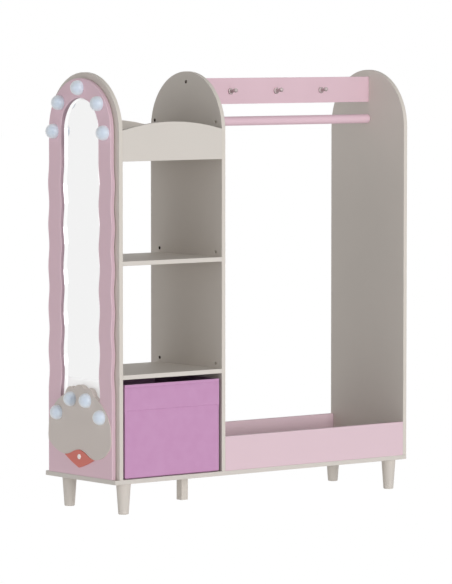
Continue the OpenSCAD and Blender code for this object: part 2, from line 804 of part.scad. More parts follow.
// Countersunk wood screw that starts at its head's flat face and runs up
module wood_screw(l) {
    cylinder(d = screw_d - 2 * fit_gap, h = l);
    cylinder(d1 = screw_head_d - 2 * fit_gap, d2 = screw_d - 2 * fit_gap, h = screw_head_h);
}

module base_screws() {
    color(zinc) for (s = base_screw_spots) translate([s[0], s[1], foot_h]) wood_screw(base_screw_l - fit_gap);
}

module mirror_screws() {
    color(zinc) for (s = frame_screws) translate([bay_x, s[0], s[1]]) rotate([0, -90, 0])
        wood_screw(board_t + backing_t + frame_bite - fit_gap);
}

// Round-headed screws that come through the hook board from behind
module hook_screws() {
    color(zinc) for (s = hook_spots) translate(s) rotate([90, 0, 0]) union() {
        translate([0, 0, -board_t / 2]) cylinder(d = screw_d - 2 * fit_gap, h = board_t + hook_disc_t);
        translate([0, 0, -board_t / 2 - screw_head_h]) cylinder(d = screw_head_d, h = screw_head_h);
    }
}

module foot_bolts() {
    color(zinc) for (s = bolt_spots) translate([s[0], s[1], foot_h - foot_bolt_in])
        cylinder(d = foot_bolt_d - 2 * fit_gap, h = foot_bolt_in + foot_bolt_up - fit_gap);
}

base_panel();
left_side_panel();
divider_panel();
right_side_panel();
upper_shelf();
lower_shelf();
gallery_shelf();
front_gallery_rail();
back_gallery_rail();
hook_board();
clothes_rail();
tray_front_board();
tray_back_board();
mirror_frame();
mirror_backing();
mirror_sheet();
shell_panel();
shell_diamond();
shell_pearl();
frame_bulb(0);  // frame_bulb_top
frame_bulb(1);  // frame_bulb_upper_front
frame_bulb(2);  // frame_bulb_upper_back
frame_bulb(3);  // frame_bulb_lower_front
frame_bulb(4);  // frame_bulb_lower_back
shell_bulb(0);  // shell_bulb_upper_front
shell_bulb(1);  // shell_bulb_upper_back
shell_bulb(2);  // shell_bulb_lower_front
shell_bulb(3);  // shell_bulb_lower_back
coat_hook(0);  // coat_hook_left
coat_hook(1);  // coat_hook_middle
coat_hook(2);  // coat_hook_right
foot(foot_xs[0], foot_ys[0]);  // foot_front_left
foot(foot_xs[1], foot_ys[0]);  // foot_front_right
foot(foot_xs[0], foot_ys[1]);  // foot_back_left
foot(foot_xs[1], foot_ys[1]);  // foot_back_right
middle_leg();
storage_bin();
bin_base_board();
cam_locks();
cam_bolts();
dowels();
base_screws();
mirror_screws();
hook_screws();
foot_bolts();
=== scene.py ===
import math

import bmesh
import bpy
from mathutils import Matrix, Vector, noise


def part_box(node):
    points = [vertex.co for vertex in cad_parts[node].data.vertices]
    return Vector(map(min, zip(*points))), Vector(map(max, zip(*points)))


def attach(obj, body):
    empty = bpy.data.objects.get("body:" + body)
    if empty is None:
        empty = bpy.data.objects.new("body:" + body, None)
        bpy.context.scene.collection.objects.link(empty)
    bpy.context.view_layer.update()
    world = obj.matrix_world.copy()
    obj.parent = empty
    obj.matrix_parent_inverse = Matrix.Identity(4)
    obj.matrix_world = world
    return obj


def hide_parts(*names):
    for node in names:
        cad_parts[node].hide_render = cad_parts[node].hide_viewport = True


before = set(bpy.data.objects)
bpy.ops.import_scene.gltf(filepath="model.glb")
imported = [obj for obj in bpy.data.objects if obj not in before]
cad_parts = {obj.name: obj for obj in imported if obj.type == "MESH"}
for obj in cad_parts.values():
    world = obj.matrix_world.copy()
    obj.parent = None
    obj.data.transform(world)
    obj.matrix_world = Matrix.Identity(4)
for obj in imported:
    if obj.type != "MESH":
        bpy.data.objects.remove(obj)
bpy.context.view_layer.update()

# ---- Base and side panels ------------------------------------------------------------------------
# Four boards of 12 mm MDF, cut to outline on a router, sanded round along every arris and sprayed
# with satin beige lacquer; the right panel's lacquer is painted a shade paler, as painted light on
# its inner face. The panels stand on the base, screwed from below. Their rear holes show raw MDF,
# painted near-black brown as the shade deep in the bores; the front holes keep the lacquer.
mm = 0.001
board_arris, edge_band = 0.9 * mm, 2 * mm


def alone(piece):
    """Deselects all else, and makes this object the active one."""
    if bpy.context.mode != "OBJECT":
        bpy.ops.object.mode_set(mode="OBJECT")
    bpy.ops.object.select_all(action="DESELECT")
    piece.select_set(True)
    bpy.context.view_layer.objects.active = piece


def cut_from_plan(node, name):
    """A piece with a CAD node's shape: a copy of its mesh, with its loose triangles merged."""
    piece = bpy.data.objects.new(name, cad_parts[node].data.copy())
    bpy.context.scene.collection.objects.link(piece)
    piece.data.materials.clear()
    alone(piece)
    bpy.ops.mesh.customdata_custom_splitnormals_clear()
    bpy.ops.object.mode_set(mode="EDIT")
    bpy.ops.mesh.select_all(action="SELECT")
    bpy.ops.mesh.remove_doubles(threshold=0.01 * mm)
    bpy.ops.mesh.dissolve_limited(angle_limit=math.radians(0.4))
    bpy.ops.object.mode_set(mode="OBJECT")
    return piece


def size_of(points):
    """The longest side of the box round some points."""
    return max(max(p[i] for p in points) - min(p[i] for p in points) for i in range(3))


def sand_arrises(piece, radius, bore=16 * mm, steps=3, clamp=True):
    """Rounds the sharp edges of a board's outline and leaves the rims of its bores sharp. The
    rounded faces carry 1 in the attribute arris_highlight, where a painted highlight makes them paler."""
    alone(piece)
    bpy.ops.object.mode_set(mode="EDIT")
    bpy.ops.mesh.select_mode(type="EDGE")
    bpy.ops.mesh.select_all(action="DESELECT")
    plan = bmesh.from_edit_mesh(piece.data)
    sharp = []
    for edge in plan.edges:
        edge.tag = len(edge.link_faces) == 2 and edge.calc_face_angle(0) > math.radians(40)
        if edge.tag:
            sharp.append(edge)
    for start in sharp:
        if not start.tag:
            continue
        start.tag = False
        rim = [start]
        for edge in rim:
            for corner in edge.verts:
                for other in corner.link_edges:
                    if other.tag:
                        other.tag = False
                        rim.append(other)
        if size_of([corner.co for edge in rim for corner in edge.verts]) > bore:
            for edge in rim:
                edge.select_set(True)
    bmesh.update_edit_mesh(piece.data)
    bpy.ops.mesh.bevel(offset=radius, segments=steps, profile=0.5, affect="EDGES", clamp_overlap=clamp)
    bpy.ops.object.mode_set(mode="OBJECT")
    arris_highlight = piece.data.attributes.new("arris_highlight", "FLOAT", "FACE")
    arris_highlight.data.foreach_set("value", [float(face.select) for face in piece.data.polygons])
    soften(piece)


def mark_painted_edge(piece):
    """The faces round a board's edge, across its thickness, carry 1 in the attribute cut, which
    paints them in the lacquer's edge colour: painted light on beige boards, painted shade on the frame.
    """
    thin = min(range(3), key=lambda axis: piece.dimensions[axis])
    cut = piece.data.attributes.new("cut", "FLOAT", "FACE")
    cut.data.foreach_set("value", [float(abs(face.normal[thin]) < 0.5) for face in piece.data.polygons])


def soften(piece, angle=42, weighted=True):
    """Shades a piece smooth, but for its sharp edges, with flat faces kept flat to the eye."""
    alone(piece)
    bpy.ops.object.shade_smooth_by_angle(angle=math.radians(angle))
    if weighted:
        flat = piece.modifiers.new("flat faces", "WEIGHTED_NORMAL")
        flat.keep_sharp = True
        bpy.ops.object.modifier_apply(modifier=flat.name)


def linear(colour):
    """A hex sRGB colour as linear RGBA."""
    channels = [int(colour[i : i + 2], 16) / 255 for i in (1, 3, 5)]
    return tuple(c / 12.92 if c <= 0.04045 else ((c + 0.055) / 1.055) ** 2.4 for c in channels) + (1.0,)


def add(tree, kind, sockets={}, **settings):
    """Adds a node with its settings; a socket, by name or number, takes a value or another node's
    output. A Mix node of colours has its factor at 0 and its two colours at 6 and 7."""
    made = tree.nodes.new("ShaderNode" + kind)
    for key, value in settings.items():
        setattr(made, key, value)
    for key, value in sockets.items():
        if isinstance(value, bpy.types.NodeSocket):
            tree.links.new(value, made.inputs[key])
        else:
            made.inputs[key].default_value = value
    return made


def new_material(name):
    """An empty node material, its tree and the vector of Object coordinates."""
    material = bpy.data.materials.new(name)
    material.use_nodes = True
    tree = material.node_tree
    tree.nodes.clear()
    return material, tree, add(tree, "TexCoord").outputs["Object"]


def finish_with(tree, shader):
    """Links a shader to the material's output."""
    add(tree, "OutputMaterial", {"Surface": shader})


def lacquered_board(name, colour, arris_highlight_colour, painted_edge_colour=None):
    """Satin lacquer, sprayed in two coats. It gives the eye a soft sheen with a faint orange peel
    of about 3 mm, clouds of a hand's width where the spray lay thicker, and arrises painted paler
    as a highlight. The faces across a board's edge take an edge colour of their own: painted light
    on the beige boards, painted shade on the mirror frame."""
    material, tree, place = new_material(name)
    peel = add(tree, "TexNoise", {"Vector": place, "Scale": 1000 / 3, "Detail": 1.5})
    clouds = add(tree, "TexNoise", {"Vector": place, "Scale": 1000 / 140, "Detail": 3})
    specks = add(tree, "TexNoise", {"Vector": place, "Scale": 1000 / 1.2, "Detail": 0})
    thin = tuple(0.965 * c for c in linear(colour)[:3]) + (1.0,)
    thick = tuple(min(1, 1.03 * c) for c in linear(colour)[:3]) + (1.0,)
    faces = add(tree, "Mix", {0: clouds.outputs["Fac"], 6: thin, 7: thick}, data_type="RGBA")
    # The edge faces take the edge colour: painted light on the beige boards, painted shade on the mirror
    # frame.
    cut = add(tree, "Attribute", attribute_name="cut", attribute_type="GEOMETRY")
    sprayed = add(tree, "Mix", {0: cut.outputs["Fac"], 6: faces.outputs[2],
                                7: linear(painted_edge_colour or colour)}, data_type="RGBA")
    # The rounded arrises are mixed towards a paler colour: a painted highlight.
    arris_highlight = add(tree, "Attribute", attribute_name="arris_highlight", attribute_type="GEOMETRY")
    arris_highlight_share = add(tree, "Math", {0: arris_highlight.outputs["Fac"], 1: 0.55}, operation="MULTIPLY")
    coat = add(tree, "Mix", {0: arris_highlight_share.outputs[0], 6: sprayed.outputs[2], 7: linear(arris_highlight_colour)},
               data_type="RGBA")
    rough = add(tree, "MapRange", {"Value": clouds.outputs["Fac"], "To Min": 0.5, "To Max": 0.62})
    height = add(tree, "Math", {0: specks.outputs["Fac"], 1: 0.25}, operation="MULTIPLY")
    height = add(tree, "Math", {0: peel.outputs["Fac"], 1: height.outputs[0]}, operation="ADD")
    bump = add(tree, "Bump", {"Height": height.outputs[0], "Strength": 0.35, "Distance": 0.12 * mm})
    shader = add(tree, "BsdfPrincipled", {"Base Color": coat.outputs[2], "Roughness": rough.outputs[0],
                                          "Normal": bump.outputs[0], "IOR": 1.47})
    finish_with(tree, shader.outputs[0])
    return material


def hole_shade_mdf():
    """Bare MDF in a drilled hole, brown and dull with a fuzz of 1 mm, painted near black as shade."""
    material, tree, place = new_material("raw MDF in painted hole shade")
    fibre = add(tree, "TexNoise", {"Vector": place, "Scale": 1000 / 1.0, "Detail": 3})
    tone = add(tree, "ValToRGB", {"Fac": fibre.outputs["Fac"]})
    tone.color_ramp.elements[0].color = linear("#2e2118")
    tone.color_ramp.elements[1].color = linear("#4b3a2c")
    shader = add(tree, "BsdfPrincipled", {"Base Color": tone.outputs[0], "Roughness": 0.9})
    finish_with(tree, shader.outputs[0])
    return material


def dress(piece, material, body, slot, *nodes):
    """Gives a piece its material and its body, and puts it in place of CAD nodes. The argument slot is
    not used.
    """
    if not piece.data.materials:
        piece.data.materials.append(material)
    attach(piece, body)
    if nodes:
        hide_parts(*nodes)


# The edges of the panels and shelves are painted a little paler than their faces, as painted light.
arris_highlight_beige, painted_light_edge_beige = "#dfd9d2", "#ded7ce"
beige_lacquer = lacquered_board("satin beige lacquer on MDF", "#d6cfc7", arris_highlight_beige, painted_light_edge_beige)
# The right panel's beige is painted a shade paler, as painted light on its inner face.
lit_right_panel_lacquer = lacquered_board("satin beige lacquer on the right panel", "#dcd5cd", arris_highlight_beige,
                                painted_light_edge_beige)
drilled = hole_shade_mdf()

base_board = cut_from_plan("base_panel", "base_board")
sand_arrises(base_board, board_arris)
dress(base_board, beige_lacquer, "unit", "beige_board", "base_panel")

for side in ("left", "divider", "right"):
    node = "divider_panel" if side == "divider" else side + "_side_panel"
    panel = cut_from_plan(node, side + "_board")
    sand_arrises(panel, board_arris)
    mark_painted_edge(panel)
    panel.data.materials.append(lit_right_panel_lacquer if side == "right" else beige_lacquer)
    panel.data.materials.append(drilled)
    low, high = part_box(node)
    half_depth = high.y
    round_top_z = high.z - half_depth
    # The inner faces of the rear holes take the near-black painted shade.
    for face in panel.data.polygons:
        x, y, z = face.center
        on_face = min(x - low.x, high.x - x) < 0.05 * mm
        from_middle = Vector((y, max(0, z - round_top_z))).length
        on_edge = z < low.z + edge_band or from_middle > half_depth - edge_band
        face.material_index = 0 if on_face or on_edge or y < 0 else 1
    dress(panel, beige_lacquer, "unit", "beige_board", node)

# ---- Shelves and gallery -------------------------------------------------------------------------
# Three shelves and two arched gallery rails in the same board and lacquer as the panels, held by
# cam locks. The rails' top edges are routed to a shallow arc.
for node in ("upper_shelf", "lower_shelf", "gallery_shelf", "front_gallery_rail", "back_gallery_rail"):
    board = cut_from_plan(node, node + "_board")
    sand_arrises(board, board_arris)
    if node in ("upper_shelf", "lower_shelf"):
        mark_painted_edge(board)
    dress(board, beige_lacquer, "unit", "beige_board", node)

# ---- Hook board, tray boards and clothes rail ----------------------------------------------------
# The same board sprayed pink, and a 25 mm beech rod that is turned, dowelled between the panels and
# sprayed pink, its colour painted a little paler than the boards' as painted light on the round rod.
wood_arris = 0.8 * mm
pink_lacquer = lacquered_board("satin pink lacquer on MDF", "#e4c4cf", "#e9d2da")
# The rail's pink is painted paler, as painted light on the round rod.
lit_rail_pink = lacquered_board("satin pink lacquer on beech", "#edccd8", "#efd9e0")
for node in ("hook_board", "tray_front_board", "tray_back_board", "clothes_rail"):
    board = cut_from_plan(node, node + "_piece")
    of_wood = node == "clothes_rail"
    sand_arrises(board, wood_arris if of_wood else board_arris)
    dress(board, lit_rail_pink if of_wood else pink_lacquer, "unit", "pink_board", node)

# ---- Feet and middle leg -------------------------------------------------------------------------
# Four tapered feet turned from beech and one square leg under the divider, all sprayed beige and
# screwed to bolts in the base. The leg's beige is painted darker, as painted shade under the base.

# The photograph shows a little more taper than the plan, and a deeper leg.
more_taper, leg_deeper = 0.07, 1.15
# The middle leg's beige is painted darker, as painted shade under the base.
leg_shade_lacquer = lacquered_board("satin beige lacquer on the middle leg", "#cfc8c0", "#d7d1c9")
for node in ("foot_front_left", "foot_front_right", "foot_back_left", "foot_back_right", "middle_leg"):
    leg = cut_from_plan(node, node + "_turned" if "foot" in node else node + "_square")
    low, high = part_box(node)
    middle = (low + high) / 2
    for corner in leg.data.vertices:
        if "foot" in node:
            grow = 1 + more_taper * (corner.co.z - low.z) / (high.z - low.z)
            corner.co.x = middle.x + (corner.co.x - middle.x) * grow
            corner.co.y = middle.y + (corner.co.y - middle.y) * grow
        else:
            corner.co.y = low.y + (corner.co.y - low.y) * leg_deeper
    sand_arrises(leg, wood_arris)
    dress(leg, beige_lacquer if "foot" in node else leg_shade_lacquer, "unit", "beige_board", node)

# ---- Mirror frame --------------------------------------------------------------------------------
# One MDF board, routed to waves outside and inside and to a round arch, its arrises rounded and
# sprayed pink. Screws through the side panel hold it, on a thin backing board in beige.

# The photograph shows the frame's rear 1.6 mm deeper than in the plan, and its opening 1.4 mm wider
# on each side, and more on the front one. From here to the hooks, plain numbers are millimetres.
frame_face_x, frame_rear_x = (corner.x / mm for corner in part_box("mirror_frame"))
deeper, wider, front_wider = 1.6, 1.4, 1.01
mirror_face_x = frame_rear_x + deeper
sheet_low, sheet_high = (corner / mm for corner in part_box("mirror_sheet"))
sheet_thick, sheet_margin, sheet_foot_margin = sheet_high.x - sheet_low.x, 8, 6
plan_half_width = sheet_high.y - sheet_margin
opening_half_width = plan_half_width + wider
opening_foot, opening_top = sheet_low.z + sheet_foot_margin, sheet_high.z - sheet_margin
lobes_top_z, lobes_half_width = 345, 84
frame_arris, frame_bore, outer_wall_shade_share = 1.6 * mm, 30 * mm, 0.45
# The frame's pink is painted paler than the boards' pink, as painted light on its shaded face; its walls
# take a darker pink as painted shade.
frame_pink = lacquered_board("satin pink lacquer on the mirror frame", "#eacad5", "#ebced9", "#bb9fab")


def at_opening(place):
    """Whether a place lies on the wall of the frame's opening, with 1 mm to spare, and 5 below."""
    y, z = abs(place.y) / mm, place.z / mm
    return y < opening_half_width + 1 and opening_foot - 5 < z < opening_top + 1


def in_plane(corner, plane_x):
    """Whether a corner lies in a plane of the mirror's flat pieces."""
    return abs(corner.co.x / mm - plane_x) < 0.1


def sink(piece, *planes_x):
    """Moves the corners in some planes of a flat piece deeper, towards the side panel."""
    for corner in piece.data.vertices:
        if any(in_plane(corner, plane_x) for plane_x in planes_x):
            corner.co.x += deeper * mm


wavy_frame = cut_from_plan("mirror_frame", "wavy_mirror_frame")
for corner in wavy_frame.data.vertices:
    if at_opening(corner.co):
        # The shell's lobes stand in the opening by themselves, so the frame ends level behind them.
        if corner.co.z < lobes_top_z * mm and abs(corner.co.y) < lobes_half_width * mm:
            corner.co.z = opening_foot * mm
        corner.co.y *= opening_half_width / plan_half_width * (1 if corner.co.y > 0 else front_wider)
sink(wavy_frame, frame_rear_x)
# The mirror's slip is made from a copy of the frame, taken before the arrises are rounded.
slip = wavy_frame.copy()
slip.data = wavy_frame.data.copy()
slip.name = "silver_slip"
bpy.context.scene.collection.objects.link(slip)
sand_arrises(wavy_frame, frame_arris, bore=frame_bore, steps=4, clamp=False)
mark_painted_edge(wavy_frame)
# The opening's wall takes the full painted shade of the recess; the outer wall takes less of it.
for face, cut in zip(wavy_frame.data.polygons, wavy_frame.data.attributes["cut"].data):
    if not at_opening(face.center):
        cut.value *= outer_wall_shade_share
dress(wavy_frame, frame_pink, "unit", "frame_pink", "mirror_frame")

backing = cut_from_plan("mirror_backing", "mirror_backing_board")
sink(backing, frame_rear_x, frame_rear_x + sheet_thick)
soften(backing)
dress(backing, beige_lacquer, "unit", "beige_board", "mirror_backing")

# ---- Mirror --------------------------------------------------------------------------------------
# A 2 mm sheet of silvered acrylic in the backing board's pocket. Beside the frame's waves a silver
# slip lies on it, 16 mm wide at the sides and 5 mm at the top, reeded with eight fine ridges that
# throw light out of the recess, so that the mirror has a bright white border.
slip_width, slip_top_width, reeds = 16.0, 5.0, 8
reed_slope = math.radians(26)
rim_gap, reed_foot, reed_step, slip_sole = 0.2, 0.05, 0.04, 0.01
hazed_below, haze_fades_over, glue_haze = lobes_top_z * mm, 15 * mm, 0.75


def silvered(name, colour, rough):
    """Acrylic with a silver coat behind it: a clean mirror, a little grey, whose sheet is not quite
    flat, so that what it shows bends over a hand's width. Round the shell's lobes it is hazed by
    their glue, and shows them only as a soft shade."""
    material, tree, place = new_material(name)
    ripple = add(tree, "TexNoise", {"Vector": place, "Scale": 1000 / 220, "Detail": 0})
    bump = add(tree, "Bump", {"Height": ripple.outputs["Fac"], "Strength": 0.15, "Distance": 0.3 * mm})
    dust = add(tree, "TexNoise", {"Vector": place, "Scale": 1000 / 25, "Detail": 4})
    clean = add(tree, "MapRange", {"Value": dust.outputs["Fac"], "To Min": rough, "To Max": rough + 0.03})
    rise = add(tree, "SeparateXYZ", {0: place})
    haze = add(tree, "MapRange", {"Value": rise.outputs[2], "From Min": hazed_below,
                                  "From Max": hazed_below + haze_fades_over, "To Min": glue_haze,
                                  "To Max": clean.outputs[0]}, interpolation_type="SMOOTHSTEP")
    shader = add(tree, "BsdfPrincipled", {"Base Color": linear(colour), "Metallic": 1.0,
                                          "Roughness": haze.outputs[0], "Normal": bump.outputs[0]})
    finish_with(tree, shader.outputs[0])
    return material


sheet = cut_from_plan("mirror_sheet", "mirror_sheet_silvered")
sink(sheet, frame_rear_x, frame_rear_x + sheet_thick)
soften(sheet)
dress(sheet, silvered("silvered acrylic", "#f2f2f2", 0.015), "unit", "mirror", "mirror_sheet")

# The slip starts as the rim of the frame's opening, which is drawn in ring by ring, a reed at a time.
alone(slip)
bpy.ops.object.mode_set(mode="EDIT")
bpy.ops.mesh.select_mode(type="VERT")
bpy.ops.mesh.select_all(action="DESELECT")
net = bmesh.from_edit_mesh(slip.data)
for corner in net.verts:
    corner.select_set(not (at_opening(corner.co) and in_plane(corner, mirror_face_x)))
bmesh.update_edit_mesh(slip.data)
bpy.ops.mesh.delete(type="VERT")
bpy.ops.mesh.select_all(action="SELECT")
bpy.ops.mesh.delete(type="ONLY_FACE")
slip_middle = (opening_foot + opening_top) / 2
half_height = (opening_top - opening_foot) / 2
top_share = slip_top_width / slip_width
reed_rise = slip_width / reeds * math.tan(reed_slope)
rings = [(rim_gap, reed_rise)]
for reed in range(1, reeds + 1):
    reed_end = slip_width * reed / reeds
    rings += [(reed_end, reed_foot), (reed_end + reed_step, reed_rise)]
# In place of the last step up, the slip goes down to its sole and back to the rim.
rings[-1:] = [(slip_width, slip_sole), (rim_gap, slip_sole)]
inset, rise = 0.0, 0.0
bpy.ops.mesh.select_all(action="SELECT")
for next_inset, next_rise in rings:
    if inset:
        bpy.ops.mesh.extrude_edges_move(TRANSFORM_OT_translate={"value": (0, 0, 0)})
    narrower = (opening_half_width - next_inset) / (opening_half_width - inset)
    lower = (half_height - next_inset * top_share) / (half_height - inset * top_share)
    bpy.ops.transform.resize(value=(1, narrower, lower), center_override=(0, 0, slip_middle * mm))
    bpy.ops.transform.translate(value=((rise - next_rise) * mm, 0, 0))
    inset, rise = next_inset, next_rise
bpy.ops.mesh.extrude_edges_move(TRANSFORM_OT_translate={"value": ((rise - reed_rise) * mm, 0, 0)})
bpy.ops.mesh.select_all(action="SELECT")
bpy.ops.mesh.remove_doubles(threshold=0.005 * mm)
bpy.ops.mesh.normals_make_consistent(inside=False)
bpy.ops.object.mode_set(mode="OBJECT")
# Towards the top, where the slip is narrower, its reeds are lower too and keep their slope.
arch_foot = opening_top - opening_half_width
for corner in slip.data.vertices:
    up = max(0, corner.co.z / mm - arch_foot) / opening_half_width
    flatter = 1 - (1 - top_share) * up
    corner.co.x = mirror_face_x * mm + (corner.co.x - mirror_face_x * mm) * flatter
soften(slip, angle=30, weighted=False)
dress(slip, silvered("polished silver slip", "#fdfdfd", 0.05), "unit", "mirror")

# ---- Shell, diamond and pearl --------------------------------------------------------------------
# A scallop shell cut from thin board and glued over the frame's foot. Its three lobes are a thicker
# block that stands in the mirror's opening. A coral diamond is let into its lower edge, a little
# askew, with half a pearl bead in the middle. All are sprayed, the bead with a pearl lacquer.
shell_face_x, diamond_face_x = (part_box(node)[0].x / mm for node in ("shell_panel", "shell_diamond"))
lobe_notch, lobe_end, lobe_swell = (24, 328), (63, 312), 11.5
wing_start, wing_end, widest, wing_foot = (66, 309.5), (136.5, 236), (139.6, 201), (138.5, 184)
left_tip, left_swell, right_tip, right_swell = (66, 149.3), 7.5, (66, 142.9), 11
block_foot_z, block_half_width, block_clear = opening_foot + 0.8, 86.4, 0.1
diamond_pivot_z, diamond_shift_y, askew, diamond_arris = 146, -1, math.radians(3), 1.2 * mm
pearl_y, pearl_z, pearl_radius, pearl_skirt, pearl_height = -2.5, 147.3, 7.2, 0.4, 2.6


def bulge(start, end, swell, steps):
    """Points (y, z) from start to end, swelling to the left of the way; the last is left out."""
    start, end = Vector(start), Vector(end)
    out = Vector((start.y - end.y, end.x - start.x)).normalized()
    return [start.lerp(end, i / steps) + out * 4 * swell * i * (steps - i) / steps**2
            for i in range(steps)]


def cut_net(axis, places):
    """Cuts all faces of the piece in edit mode by planes across an axis."""
    normal = [float(i == axis) for i in range(3)]
    for place in places:
        bpy.ops.mesh.select_all(action="SELECT")
        bpy.ops.mesh.bisect(plane_co=[n * place for n in normal], plane_no=normal)
    bpy.ops.mesh.select_all(action="DESELECT")


def half_shell(tip, tip_swell):
    """One side of the outline, from the middle lobe down to the diamond's tip."""
    return (bulge(lobe_notch, lobe_end, lobe_swell, 18) + bulge(lobe_end, wing_start, 0.1, 2)
            + bulge(wing_start, wing_end, lobe_swell, 20) + bulge(wing_end, widest, 0.5, 6)
            + bulge(widest, wing_foot, 0.5, 4) + bulge(wing_foot, tip, tip_swell, 20) + [Vector(tip)])


# Its lower edge is askew with the diamond: its left end is higher than its right one.
outline = bulge((-lobe_notch[0], lobe_notch[1]), lobe_notch, lobe_swell - 1, 18)
outline += half_shell(left_tip, left_swell)
outline += [Vector((-point.x, point.y)) for point in reversed(half_shell(right_tip, right_swell))][:-1]

bpy.ops.object.select_all(action="DESELECT")
bpy.ops.mesh.primitive_circle_add(vertices=len(outline), radius=0.1, fill_type="NGON")
shell = bpy.context.active_object
shell.name = "scallop_shell"
for corner, (y, z) in zip(shell.data.vertices, outline):
    corner.co = Vector((frame_face_x, y, z)) * mm
bpy.ops.object.mode_set(mode="EDIT")
bpy.ops.mesh.select_all(action="SELECT")
cut_net(2, [block_foot_z * mm])
cut_net(1, [-block_half_width * mm, block_half_width * mm])
bpy.ops.mesh.select_all(action="SELECT")
outwards = (shell_face_x - frame_face_x) * mm
bpy.ops.mesh.extrude_region_move(TRANSFORM_OT_translate={"value": (outwards, 0, 0)})
bpy.ops.mesh.select_mode(type="FACE")
bpy.ops.mesh.select_all(action="DESELECT")
net = bmesh.from_edit_mesh(shell.data)
for face in net.faces:
    middle = face.calc_center_median()
    back = all(in_plane(corner, frame_face_x) for corner in face.verts)
    face.select_set(back and middle.z > block_foot_z * mm and abs(middle.y) < block_half_width * mm)
bmesh.update_edit_mesh(shell.data)
inwards = (mirror_face_x - block_clear - frame_face_x) * mm
bpy.ops.mesh.extrude_region_move(TRANSFORM_OT_translate={"value": (inwards, 0, 0)})
bpy.ops.mesh.select_all(action="SELECT")
bpy.ops.mesh.normals_make_consistent(inside=False)
bpy.ops.mesh.dissolve_limited(angle_limit=math.radians(0.4))
bpy.ops.object.mode_set(mode="OBJECT")

diamond = cut_from_plan("shell_diamond", "coral_diamond")
pivot = Vector((diamond_face_x, 0, diamond_pivot_z)) * mm
diamond_middle = pivot + Vector((0, diamond_shift_y * mm, 0))
diamond.data.transform(Matrix.Translation(diamond_middle) @ Matrix.Rotation(askew, 4, "X")
                       @ Matrix.Translation(-pivot))
# The bed is cut through the shell by a copy that is three times as thick and a little larger.
bed = diamond.copy()
bed.data = diamond.data.copy()
bpy.context.scene.collection.objects.link(bed)
bed.data.transform(Matrix.Translation(diamond_middle) @ Matrix.Diagonal((3, 1.012, 1.02, 1))
                   @ Matrix.Translation(-diamond_middle))
cut = shell.modifiers.new("bed for the diamond", "BOOLEAN")
cut.operation = "DIFFERENCE"
cut.solver = "EXACT"
cut.object = bed
alone(shell)
bpy.ops.object.modifier_apply(modifier=cut.name)
bpy.data.objects.remove(bed)
sand_arrises(shell, board_arris)
shell_lacquer = lacquered_board("satin shell lacquer on thin board", "#d9cfc8", "#dcd2cb")
dress(shell, shell_lacquer, "unit", "shell_beige", "shell_panel")

sand_arrises(diamond, diamond_arris)
coral_lacquer = lacquered_board("satin coral lacquer on thin board", "#dd7568", "#e28478")
dress(diamond, coral_lacquer, "unit", "coral", "shell_diamond")


def turned(name, start, along, profile, sides=48):
    """A round piece made as on a lathe. It starts on a disc and grows along a direction through
    pairs of radius and distance, all in millimetres."""
    along = Vector(along).normalized()
    start = Vector(start) * mm
    radius, gone = profile[0]
    bpy.ops.object.select_all(action="DESELECT")
    bpy.ops.mesh.primitive_circle_add(vertices=sides, radius=radius * mm, fill_type="NGON",
                                      location=start + along * gone * mm,
                                      rotation=Vector((0, 0, 1)).rotation_difference(along).to_euler())
    piece = bpy.context.active_object
    piece.name = name
    bpy.ops.object.transform_apply(location=True, rotation=True, scale=True)
    bpy.ops.object.mode_set(mode="EDIT")
    bpy.ops.mesh.select_all(action="SELECT")
    for next_radius, distance in profile[1:]:
        step = along * (distance - gone) * mm
        bpy.ops.mesh.extrude_region_move(TRANSFORM_OT_translate={"value": step})
        grow = next_radius / radius
        middle = start + along * distance * mm
        bpy.ops.transform.resize(value=(grow, grow, grow), center_override=middle)
        radius, gone = next_radius, distance
    bpy.ops.mesh.select_all(action="SELECT")
    bpy.ops.mesh.normals_make_consistent(inside=False)
    bpy.ops.object.mode_set(mode="OBJECT")
    return piece


def dome_profile(radius, skirt, height, steps=14, chamfer=0.4):
    """Pairs for a dome on a straight skirt, with a small chamfer at its foot."""
    turns = [math.radians(88 * i / steps) for i in range(steps + 1)]
    dome = [(radius * math.cos(turn), skirt + height * math.sin(turn)) for turn in turns]
    return [(radius - chamfer, 0), (radius, chamfer)] + dome


def pearl_lacquer():
    """Pearl lacquer: a warm white with a clear coat over it and a slow drift of pink and cream."""
    material, tree, place = new_material("pearl lacquer")
    drift = add(tree, "TexNoise", {"Vector": place, "Scale": 1000 / 9, "Detail": 1})
    tone = add(tree, "ValToRGB", {"Fac": drift.outputs["Fac"]})
    tone.color_ramp.elements[0].color = linear("#fbeee8")
    tone.color_ramp.elements[1].color = linear("#fffaf6")
    shader = add(tree, "BsdfPrincipled", {"Base Color": tone.outputs[0], "Roughness": 0.25,
                                          "Coat Weight": 0.8, "Coat Roughness": 0.05, "Coat IOR": 1.9})
    finish_with(tree, shader.outputs[0])
    return material


pearl = turned("pearl_bead", (diamond_face_x, pearl_y, pearl_z), (-1, 0, 0),
               dome_profile(pearl_radius, pearl_skirt, pearl_height))
soften(pearl, weighted=False)
dress(pearl, pearl_lacquer(), "unit", "pearl", "shell_pearl")

# ---- Bulbs ---------------------------------------------------------------------------------------
# Nine half-round bulbs of frosted polycarbonate, moulded in one with a short skirt and a peg that
# is pressed into the frame. Those on the frame have a longer skirt, so that all nine end level.
# They carry no lamp.
bulb_radius, bulb_height, shell_bulb_skirt, frame_bulb_skirt = 19.8, 19.5, 3.1, 5.4


